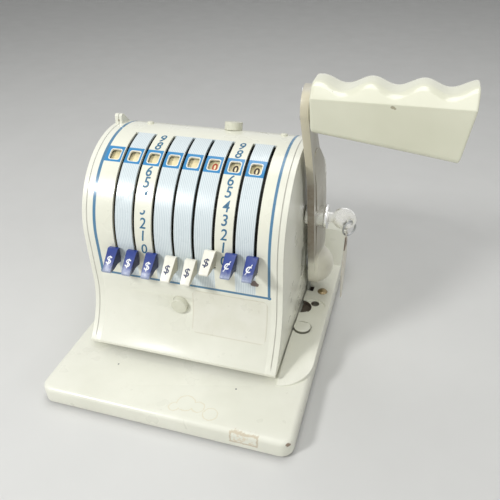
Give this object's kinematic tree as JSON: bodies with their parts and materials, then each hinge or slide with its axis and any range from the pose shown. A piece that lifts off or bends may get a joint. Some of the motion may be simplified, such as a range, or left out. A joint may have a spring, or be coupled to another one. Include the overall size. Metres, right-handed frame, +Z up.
{
  "type": "check writer",
  "caption": "Desk check writer: low enamelled base, rounded slotted face with thumb keys in columns, digit windows, round button, and a pull handle with a ribbed grip and a key lock",
  "frame": {"origin": "centre of the bounding box in X and Y, at the underside of the feet", "axes": "+X to the user's right, where the grip reaches out, +Y to the rear, +Z up; the user faces +Y"},
  "size_m": [0.2586, 0.235, 0.2203],
  "materials": {
    "enamel": "satin",
    "face_enamel": "satin",
    "steel": "satin",
    "chrome": "polished",
    "arm_paint": "satin",
    "blue_plastic": "satin",
    "white_plastic": "satin",
    "grip_plastic": "satin",
    "brass": "satin",
    "rubber": "matte",
    "tag_card": "matte",
    "type_metal": "satin",
    "black_paint": "matte"
  },
  "bodies": {
    "housing": {"base_casting": "enamel", "bottom_cover": "black_paint", "rubber_feet": "rubber", "bottom_screws": "steel", "stop_pad": "steel", "shelf_screw": "steel", "left_cheek": "enamel", "right_cheek": "enamel", "face_plate": "face_enamel", "front_skirt": "face_enamel", "rear_cover": "enamel", "throat_plate": "steel", "top_screws": "steel", "tie_rods": "steel", "lever_axle": "steel", "type_axle": "steel", "axle_spacers": "brass", "detent_bar": "steel", "shaft_bushings": "brass", "button_bracket": "steel"},
    "handle": {"main_shaft": "steel", "handle_arm": "arm_paint", "handle_grip": "grip_plastic", "grip_screws": "steel", "lock_barrel": "chrome"},
    "key": {"lock_key": "steel"},
    "tag": {"key_ring": "steel", "key_tag": "tag_card"},
    "platen_unit": {"platen": "steel", "platen_pad": "rubber", "lift_link": "steel"},
    "button": {"push_button": "white_plastic"},
    "knob": {"thumb_knob": "white_plastic"},
    "lever_1": {"key_cap_1": "blue_plastic", "key_lever_1": "steel"},
    "wheel_1": {"type_wheel_1": "type_metal"},
    "lever_2": {"key_cap_2": "blue_plastic", "key_lever_2": "steel"},
    "wheel_2": {"type_wheel_2": "type_metal"},
    "lever_3": {"key_cap_3": "blue_plastic", "key_lever_3": "steel"},
    "wheel_3": {"type_wheel_3": "type_metal"},
    "lever_4": {"key_cap_4": "white_plastic", "key_lever_4": "steel"},
    "wheel_4": {"type_wheel_4": "type_metal"},
    "lever_5": {"key_cap_5": "white_plastic", "key_lever_5": "steel"},
    "wheel_5": {"type_wheel_5": "type_metal"},
    "lever_6": {"key_cap_6": "white_plastic", "key_lever_6": "steel"},
    "wheel_6": {"type_wheel_6": "type_metal"},
    "lever_7": {"key_cap_7": "blue_plastic", "key_lever_7": "steel"},
    "wheel_7": {"type_wheel_7": "type_metal"},
    "lever_8": {"key_cap_8": "blue_plastic", "key_lever_8": "steel"},
    "wheel_8": {"type_wheel_8": "type_metal"}
  },
  "joints": [
    {"name": "handle_pull", "type": "hinge", "parent": "housing", "child": "handle", "pos_m": [0.04275, 0.037, 0.049], "axis": [1, 0, 0], "range_deg": [0, 48], "stiffness_Nm_per_rad": 1.4, "springref_deg": -51.57},
    {"name": "platen_lift", "type": "slide", "parent": "housing", "child": "platen_unit", "axis": [0, 0, 1], "range_m": [-0.0001, 0.00742]},
    {"name": "key_1", "type": "hinge", "parent": "housing", "child": "lever_1", "pos_m": [-0.08865, 0.0098, 0.103], "axis": [-1, 0, 0], "range_deg": [0, 88]},
    {"name": "key_2", "type": "hinge", "parent": "housing", "child": "lever_2", "pos_m": [-0.07415, 0.0098, 0.103], "axis": [-1, 0, 0], "range_deg": [0, 88]},
    {"name": "key_3", "type": "hinge", "parent": "housing", "child": "lever_3", "pos_m": [-0.05965, 0.0098, 0.103], "axis": [-1, 0, 0], "range_deg": [0, 88]},
    {"name": "key_4", "type": "hinge", "parent": "housing", "child": "lever_4", "pos_m": [-0.04515, 0.0098, 0.103], "axis": [-1, 0, 0], "range_deg": [0, 88]},
    {"name": "key_5", "type": "hinge", "parent": "housing", "child": "lever_5", "pos_m": [-0.03065, 0.0098, 0.103], "axis": [-1, 0, 0], "range_deg": [0, 88]},
    {"name": "key_6", "type": "hinge", "parent": "housing", "child": "lever_6", "pos_m": [-0.01615, 0.0098, 0.103], "axis": [-1, 0, 0], "range_deg": [-8.8, 79.2]},
    {"name": "key_7", "type": "hinge", "parent": "housing", "child": "lever_7", "pos_m": [-0.00165, 0.0098, 0.103], "axis": [-1, 0, 0], "range_deg": [-8.8, 79.2]},
    {"name": "key_8", "type": "hinge", "parent": "housing", "child": "lever_8", "pos_m": [0.01285, 0.0098, 0.103], "axis": [-1, 0, 0], "range_deg": [-8.8, 79.2]},
    {"name": "type_wheel_turn_1", "type": "hinge", "parent": "housing", "child": "wheel_1", "pos_m": [-0.09265, 0.0098, 0.03957], "axis": [-1, 0, 0], "range_deg": [-328.56, 1]},
    {"name": "type_wheel_turn_2", "type": "hinge", "parent": "housing", "child": "wheel_2", "pos_m": [-0.07815, 0.0098, 0.03957], "axis": [-1, 0, 0], "range_deg": [-328.56, 1]},
    {"name": "type_wheel_turn_3", "type": "hinge", "parent": "housing", "child": "wheel_3", "pos_m": [-0.06365, 0.0098, 0.03957], "axis": [-1, 0, 0], "range_deg": [-328.56, 1]},
    {"name": "type_wheel_turn_4", "type": "hinge", "parent": "housing", "child": "wheel_4", "pos_m": [-0.04915, 0.0098, 0.03957], "axis": [-1, 0, 0], "range_deg": [-328.56, 1]},
    {"name": "type_wheel_turn_5", "type": "hinge", "parent": "housing", "child": "wheel_5", "pos_m": [-0.03465, 0.0098, 0.03957], "axis": [-1, 0, 0], "range_deg": [-328.56, 1]},
    {"name": "type_wheel_turn_6", "type": "hinge", "parent": "housing", "child": "wheel_6", "pos_m": [-0.02015, 0.0098, 0.03957], "axis": [-1, 0, 0], "range_deg": [-295.8, 33.76]},
    {"name": "type_wheel_turn_7", "type": "hinge", "parent": "housing", "child": "wheel_7", "pos_m": [-0.00565, 0.0098, 0.03957], "axis": [-1, 0, 0], "range_deg": [-295.8, 33.76]},
    {"name": "type_wheel_turn_8", "type": "hinge", "parent": "housing", "child": "wheel_8", "pos_m": [0.00885, 0.0098, 0.03957], "axis": [-1, 0, 0], "range_deg": [-295.8, 33.76]},
    {"name": "button_press", "type": "slide", "parent": "housing", "child": "button", "axis": [0, 1, 0], "range_m": [0, 0.003], "stiffness_N_per_m": 300, "springref_m": -0.001},
    {"name": "knob_turn", "type": "hinge", "parent": "housing", "child": "knob", "pos_m": [-0.02525, 0.02697, 0.16133], "axis": [0, 0.2823, 0.9593], "range_deg": [0, 90]},
    {"name": "key_turn", "type": "hinge", "parent": "handle", "child": "key", "pos_m": [0.04775, 0.019, 0.104], "axis": [1, 0, 0], "range_deg": [0, 90]},
    {"name": "tag_swing", "type": "hinge", "parent": "key", "child": "tag", "pos_m": [0.06465, 0.019, 0.102], "axis": [0, 1, 0], "range_deg": [-60, 5]}
  ],
  "couplings": [
    {"joint": "platen_lift", "follows": "handle_pull", "m_per_rad": 0.0087391},
    {"joint": "type_wheel_turn_1", "follows": "key_1", "ratio": -3.7222},
    {"joint": "type_wheel_turn_2", "follows": "key_2", "ratio": -3.7222},
    {"joint": "type_wheel_turn_3", "follows": "key_3", "ratio": -3.7222},
    {"joint": "type_wheel_turn_4", "follows": "key_4", "ratio": -3.7222},
    {"joint": "type_wheel_turn_5", "follows": "key_5", "ratio": -3.7222},
    {"joint": "type_wheel_turn_6", "follows": "key_6", "ratio": -3.7222},
    {"joint": "type_wheel_turn_7", "follows": "key_7", "ratio": -3.7222},
    {"joint": "type_wheel_turn_8", "follows": "key_8", "ratio": -3.7222}
  ]
}
